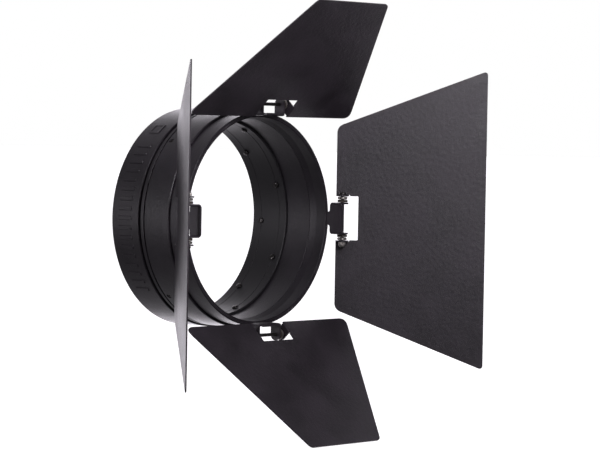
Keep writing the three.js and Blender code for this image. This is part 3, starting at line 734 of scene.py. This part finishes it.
def leaf_grids(near, far, corners, offset):
    """The middle of the sheet as grids that share their edges: two side panels, the strip past the notch, two ears.

    A side panel's rows run across the leaf, from the notch's side to the leaf's outline. The strip's columns run
    along it, from the notch's floor, with its round corners, to the far edge. An ear's rows are the panel's own
    rows beside the bolt, carried round a quarter circle, up to the bolt, and closed by a circle about it.
    """
    near_y, far_y = -overhang, leaf_length - overhang
    side = np.array([far - near, far_y - near_y]) / math.hypot(far - near, far_y - near_y)
    near_at, far_at = np.array([near, near_y]), np.array([far, far_y])
    first = quarter_curve(near_at - [corners[0], 0], near_at, near_at + side * corners[0])
    last = quarter_curve(far_at - side * corners[1], far_at, far_at - [corners[1], 0])
    ear_rows = np.array([-ear_radius, -4.3, -2.9, -1.4, 0, 1.4, 2.9, 4.3, ear_radius])
    inner_rows = np.array([near_y, 6.5, 9, notch_floor - notch_corner, 14.6, 17, 20])
    rows = np.concatenate([ear_rows, inner_rows, first[:, 1], last[:, 1], np.arange(25, far_y - corners[1] - 2, 5.5)])
    rows = np.unique(np.round(rows, 4))
    spaced = np.concatenate([[True], np.diff(rows) > 0.05])
    rows = rows[spaced | np.isin(rows, np.round(np.concatenate([ear_rows, inner_rows]), 4))]
    outline = np.concatenate([first, last])
    outer = np.interp(rows, outline[:, 1], outline[:, 0])
    inner = np.where(np.abs(rows) < ear_radius + 0.1, ear_middle + ear_bend, notch_half)
    across = np.concatenate([[0, 0.02, 0.06], np.linspace(0.12, 0.94, 14), [0.98, 1]])
    x = inner[:, None] + (outer - inner)[:, None] * across
    panel = np.stack([x, rows[:, None] + 0 * x, 0 * x - offset], -1)

    strip_x = np.array([0, 4, 8, 12, 16, 18.6, 19.2, 19.5, 19.75, 19.95, 20.08, 20.17, notch_half])
    strip_x = np.concatenate([-strip_x[:0:-1], strip_x])
    into_corner = np.maximum(np.abs(strip_x) - notch_half + notch_corner, 0)
    floor = notch_floor - notch_corner + np.sqrt(np.maximum(notch_corner ** 2 - into_corner ** 2, 0))
    strip_rows = rows[rows > notch_floor + 0.5]
    strip_y = np.concatenate([floor[None], np.repeat(strip_rows[:, None], len(strip_x), 1)])
    strip = np.stack([strip_x + 0 * strip_y, strip_y, 0 * strip_y - offset], -1)

    towards = math.copysign(1, offset)
    turn = np.linspace(0, math.pi / 2, 7)
    low = np.linspace(abs(offset) - ear_bend, 0, 5)[1:]
    cap = np.linspace(0, math.pi / 2, 11)[1:]
    ear_x = np.concatenate([ear_middle + ear_bend * (1 - np.sin(turn)), np.full(len(low) + len(cap), ear_middle)])
    ear_z = -towards * np.concatenate([abs(offset) - ear_bend * (1 - np.cos(turn)), low, -ear_radius * np.sin(cap)])
    ear_half = np.concatenate([np.ones(len(turn) + len(low)), np.cos(cap)])
    ear = np.stack([
        ear_x[:, None] + 0 * ear_rows, ear_half[:, None] * ear_rows, ear_z[:, None] + 0 * ear_rows,
    ], -1)
    mirrored = np.array([-1, 1, 1])
    return [panel, panel * mirrored, strip, ear, ear * mirrored]


def leaf_place(grid, opened, turn):
    """Stands a leaf's grid on the top bolt, opened so far from the beam, and turns it to its own side."""
    opened = math.radians(opened)
    along = (0, -math.cos(opened), math.sin(opened))
    inwards = (0, -math.sin(opened), -math.cos(opened))
    return round_to(stand(grid, (1, 0, 0), along, inwards, (0, bolt_y, bolt_out)), turn)


leaves = {
    "top": (90, 46.5, "end"), "right": (0, 37.5, "side"),
    "bottom": (-90, 46.5, "end"), "left": (180, 42.0, "side"),
}
for side, (turn, opened, kind) in leaves.items():
    grids = [(leaf_place(grid, opened, turn), False, False) for grid in leaf_grids(**leaf_shapes[kind])]
    leaf = piece(f"leaf_sheet_{side}", grids, 50)
    sheet_metal(leaf, leaf_sheet, 0.24)
    fit(leaf, f"{side}_leaf", "powder_coat_sheet", sheet_coat, f"leaf_{side}")


# ---- Bolts ----
# Four long M3 button head bolts of black oxide steel, with a hexagon socket. Each goes through an ear, both
# lugs and the other ear, and only its last part is threaded.
bolt_turns = evenly_round(48)
head_end, bolt_tip = bolt_low[0], bolt_high[0]
bolt_radius, plain_length, thread_depth, pitch, steps_per_pitch = 1.6, 37.6, 0.28, 0.5, 6
bolt_socket = six_sided(1.35, bolt_turns)


def button_head_bolt():
    """Outlines along the bolt: socket floor and walls, the domed head, the shank, and a thread to the tip.

    The thread's radius falls from the bolt's own by a triangle wave of the distance along plus the turn round,
    one pitch to each turn.
    """
    plain = [
        (0 * bolt_socket, head_end + 1.2), (0.92 * bolt_socket, head_end + 1.2), (bolt_socket, head_end + 1.05),
        (bolt_socket, head_end + 0.12), (bolt_socket + 0.09, head_end + 0.02),
    ]
    plain += [(radius + 0 * bolt_socket, head_end + step) for radius, step in (
        (1.6, 0.0), (2.0, 0.03), (2.45, 0.16), (2.8, 0.4), (3.05, 0.75), (3.17, 1.15), (3.2, 1.6), (3.2, 2.2),
        (3.1, 2.36), (1.75, 2.4), (bolt_radius, 2.55), (bolt_radius, 14.0), (bolt_radius, 30.0),
        (bolt_radius, plain_length - 0.2),
    )]
    along = np.arange(head_end + plain_length, bolt_tip - 0.35, pitch / steps_per_pitch)
    phase = (along[:, None] / pitch + bolt_turns / (2 * math.pi)) % 1
    fade = soft_step(along - along[0])[:, None]
    thread = bolt_radius - thread_depth * fade * (1 - np.abs(2 * phase - 1))
    tip = [(1.28 + 0 * bolt_socket, bolt_tip - 0.25), (1.05 + 0 * bolt_socket, bolt_tip), (0 * bolt_socket, bolt_tip)]
    outlines = np.concatenate([np.stack([o for o, _ in plain]), thread, np.stack([o for o, _ in tip])])
    heights = np.concatenate([[h for _, h in plain], along, [h for _, h in tip]])
    return lofted(outlines, heights, bolt_turns)


def on_bolt(points, turn):
    """Lays a shape worked out about its own z axis along the top bolt's X, and turns it to its side."""
    return round_to(stand(points, (0, 0, 1), (0, 1, 0), (1, 0, 0), (0, bolt_y, bolt_out)), turn)


bolt_shape = button_head_bolt()
for side, (turn, _, _) in leaves.items():
    shank = piece(f"button_bolt_{side}", [(on_bolt(bolt_shape, turn), False, True)], 34)
    fit(shank, f"{side}_leaf", "black_screw", oxide, f"bolt_{side}")


# ---- Nuts ----
# Zinc plated M3 lock nuts: a hexagon with its corners chamfered, and a round collar pressed over the nylon ring
# that stops the leaf's friction from working loose.
def zinc_plate():
    """Bright zinc on steel: warm grey metal with fine scratches and duller stained patches."""
    material, tree, shader = new_material("zinc_plated_steel")
    place = node(tree, "ShaderNodeTexCoord").outputs["Object"]
    stain = node(
        tree, "ShaderNodeTexNoise", {"Vector": place, "Scale": 420.0, "Detail": 4.0, "Roughness": 0.6},
    ).outputs["Fac"]
    scratch = node(
        tree, "ShaderNodeTexNoise", {"Vector": place, "Scale": 2600.0, "Detail": 2.0, "Distortion": 1.2},
    ).outputs["Fac"]
    colour = blended(tree, between(tree, stain, 0.0, 1.0), (0.30, 0.275, 0.25), (0.58, 0.56, 0.53))
    tree.links.new(colour, shader.inputs["Base Color"])
    tree.links.new(between(tree, stain, 0.40, 0.24), shader.inputs["Roughness"])
    shader.inputs["Metallic"].default_value = 1.0
    bump = node(tree, "ShaderNodeBump", {"Strength": 0.35, "Distance": 0.00003, "Height": scratch})
    tree.links.new(bump.outputs["Normal"], shader.inputs["Normal"])
    return material


zinc = zinc_plate()
nut_seat = in_mm(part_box("nut_top"))[0][0]
nut_turns = evenly_round(72)
nut_hexagon = six_sided(3.5, nut_turns)
nut_rings = [(1.72, 0.3), (1.95, 0.0)]
nut_rings += [(np.minimum(nut_hexagon, cone), step) for cone, step in (
    (2.95, 0.0), (3.12, 0.05), (3.36, 0.18), (3.6, 0.42), (3.6, 1.3), (3.6, 2.2), (3.36, 2.42), (3.1, 2.52),
)]
nut_rings += [(2.86, 2.56), (2.8, 2.66), (2.8, 3.4), (2.7, 3.72), (2.45, 3.93), (2.15, 4.0), (1.95, 3.9), (1.72, 3.7)]
nut_shape = lofted(
    np.stack([outline + 0 * nut_turns for outline, _ in nut_rings]),
    nut_seat + np.array([step for _, step in nut_rings]), nut_turns,
)
for side, (turn, _, _) in leaves.items():
    nut = piece(f"lock_nut_{side}", [(on_bolt(nut_shape, turn), True, True)], 34)
    fit(nut, f"{side}_leaf", "zinc_steel", zinc, f"nut_{side}")


# ---- Friction discs and spring washers ----
# Between each lug and ear a pressed fibre disc takes the rubbing, and a pair of cupped steel washers, face to
# face, keeps it squeezed so that the leaf stays where it is put.
def pressed_fibre():
    """Brown-black friction fibre: short pale strands in a dark binder, dull all over."""
    material, tree, shader = new_material("pressed_fibre")
    place = node(tree, "ShaderNodeTexCoord").outputs["Object"]
    stretched = node(
        tree, "ShaderNodeMapping", {"Vector": place, "Scale": (1.0, 2.6, 1.0), "Rotation": (0.4, 0.7, 0.2)},
    )
    strand = node(
        tree, "ShaderNodeTexNoise",
        {"Vector": stretched.outputs["Vector"], "Scale": 1800.0, "Detail": 3.0, "Distortion": 2.0},
    ).outputs["Fac"]
    colour = blended(tree, between(tree, strand, 0.0, 1.0, 0.42, 0.7), (0.016, 0.013, 0.011), (0.085, 0.066, 0.050))
    tree.links.new(colour, shader.inputs["Base Color"])
    tree.links.new(between(tree, strand, 0.74, 0.90), shader.inputs["Roughness"])
    bump = node(tree, "ShaderNodeBump", {"Strength": 0.6, "Distance": 0.00008, "Height": strand})
    tree.links.new(bump.outputs["Normal"], shader.inputs["Normal"])
    return material


fibre = pressed_fibre()
stack_turns = evenly_round(64)
disc_from, disc_to = (corner[0] for corner in in_mm(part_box("disc_top_b")))
cup_from, cup_to = (corner[0] for corner in in_mm(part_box("washer_top_b")))
stack_hole, stack_radius, cup_flat, cup_middle = 1.9, 4.6, 3.1, (cup_from + cup_to) / 2
disc_corners = [
    (stack_hole, disc_from, 0.1), (stack_radius, disc_from, 0.3),
    (stack_radius, disc_to, 0.3), (stack_hole, disc_to, 0.1),
]
cup_corners = [
    (stack_hole, cup_from, 0.1), (cup_flat, cup_from, 0.5),
    (stack_radius, cup_middle - 0.75, 0.15), (stack_radius, cup_middle - 0.12, 0.1), (4.3, cup_middle, 0.05),
    (stack_radius, cup_middle + 0.12, 0.1), (stack_radius, cup_middle + 0.75, 0.15),
    (cup_flat, cup_to, 0.5), (stack_hole, cup_to, 0.1),
]


def spun(corners, mirror):
    """An eased profile [radius, along the bolt] swept round the bolt, on one end of it or the other."""
    radius, along = eased(corners, 4).T
    turns = stack_turns[:, None]
    return np.stack([radius * np.cos(turns), radius * np.sin(turns), mirror * along + 0 * turns], -1)


for side, (turn, _, _) in leaves.items():
    for end, mirror in (("a", -1), ("b", 1)):
        disc = piece(f"fibre_disc_{side}_{end}", [(on_bolt(spun(disc_corners, mirror), turn), True, True)])
        fit(disc, "rim", "friction_fibre", fibre, f"disc_{side}_{end}")
        cup = piece(f"spring_washers_{side}_{end}", [(on_bolt(spun(cup_corners, mirror), turn), True, True)])
        fit(cup, "rim", "zinc_steel", zinc, f"washer_{side}_{end}")


# ---- Floor and light ----
# A plain pale floor under the attachment, in a white studio. The far side of the room is bright. Two narrow soft
# boxes stand behind it to the left, a wider one hangs above it on the left, and a small one lights it from in front.
floor_half = 30
floor_z = min(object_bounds()[0].z, cad_box[0][2]) - 0.001
floor_corners = [(x * floor_half, y * floor_half, floor_z) for x, y in ((-1, -1), (1, -1), (1, 1), (-1, 1))]
floor_mesh = bpy.data.meshes.new("floor")
floor_mesh.from_pydata(floor_corners, [], [(0, 1, 2, 3)])
floor = bpy.data.objects.new("floor", floor_mesh)
bpy.context.scene.collection.objects.link(floor)
floor_paint, floor_tree, floor_shader = new_material("floor_paint")
floor_place = node(floor_tree, "ShaderNodeTexCoord").outputs["Object"]
floor_noise = node(
    floor_tree, "ShaderNodeTexNoise", {"Vector": floor_place, "Scale": 3.0, "Detail": 3.0},
).outputs["Fac"]
floor_colour = blended(floor_tree, floor_noise, (0.86, 0.86, 0.86), (0.89, 0.89, 0.89))
floor_tree.links.new(floor_colour, floor_shader.inputs["Base Color"])
floor_shader.inputs["Roughness"].default_value = 0.9
floor_shader.inputs["Specular IOR Level"].default_value = 0.1
floor_shader.inputs["Emission Color"].default_value = (1, 1, 1, 1)
floor_shader.inputs["Emission Strength"].default_value = 0.8
floor_mesh.materials.append(floor_paint)
floor.visible_glossy = False
floor.visible_diffuse = False

world = bpy.data.worlds.new("studio")
bpy.context.scene.world = world
world.use_nodes = True
sky = world.node_tree
sky.nodes.clear()
direction = node(sky, "ShaderNodeTexCoord").outputs["Generated"]


def glow(directions, middle, edge, full, low, high):
    """How bright the room is: low where the cosine to its middle direction is under edge, and high past full."""
    facing = node(sky, "ShaderNodeVectorMath", {0: directions, 1: middle}, operation="DOT_PRODUCT").outputs["Value"]
    return node(
        sky, "ShaderNodeMapRange",
        {"Value": facing, "From Min": edge, "From Max": full, "To Min": low, "To Max": high},
        interpolation_type="SMOOTHSTEP",
    ).outputs["Result"]


far_wall = glow(direction, middle=(0.85, 0.53, 0.0), edge=0.71, full=0.95, low=0.18, high=4.1)
parts = node(sky, "ShaderNodeSeparateXYZ", {"Vector": direction}).outputs
height = node(sky, "ShaderNodeMath", {0: parts["Z"]}, operation="ABSOLUTE").outputs[0]
folded = node(sky, "ShaderNodeCombineXYZ", {"X": parts["X"], "Y": parts["Y"], "Z": height}).outputs["Vector"]
floor_and_ceiling = glow(folded, middle=(0.25, 0.72, 0.64), edge=0.86, full=0.99, low=0.0, high=0.35)
strength = node(sky, "ShaderNodeMath", {0: far_wall, 1: floor_and_ceiling}, operation="ADD").outputs[0]
room = node(sky, "ShaderNodeBackground", {"Color": (0.97, 0.925, 1.0, 1), "Strength": strength})
seen = node(sky, "ShaderNodeBackground", {"Color": (1, 1, 1, 1), "Strength": 1.0})
ray = node(sky, "ShaderNodeLightPath").outputs["Is Camera Ray"]
both = node(sky, "ShaderNodeMixShader", {"Fac": ray})
sky.links.new(room.outputs[0], both.inputs[1])
sky.links.new(seen.outputs[0], both.inputs[2])
sky.links.new(both.outputs[0], node(sky, "ShaderNodeOutputWorld").inputs["Surface"])


def soft_box(name, place, width, height, watts):
    """A rectangular area light at a place in metres, facing the middle of the rim, a little cooler than white."""
    data = bpy.data.lights.new(name, "AREA")
    data.shape, data.size, data.size_y, data.energy = "RECTANGLE", width, height, watts
    data.color = (0.97, 0.93, 1.0)
    made = bpy.data.objects.new(name, data)
    bpy.context.scene.collection.objects.link(made)
    aim = Vector(place) - Vector((0, rim_front / 1000, 0))
    made.matrix_world = Matrix.Translation(place) @ aim.to_track_quat("Z", "Y").to_matrix().to_4x4()
    made.visible_camera = False


soft_box("left_box", (-1.68, 0.66, 0.10), width=0.22, height=1.2, watts=5.5)
soft_box("strip_box", (-1.60, 0.86, 0.00), width=0.12, height=0.6, watts=2.4)
soft_box("top_left_box", (-1.30, -0.20, 1.50), width=0.5, height=0.8, watts=6.0)
soft_box("near_box", (-0.27, -0.64, 0.24), width=0.26, height=0.26, watts=2.9)

bpy.context.scene.view_settings.view_transform = "Standard"
bpy.context.scene.view_settings.look = "None"
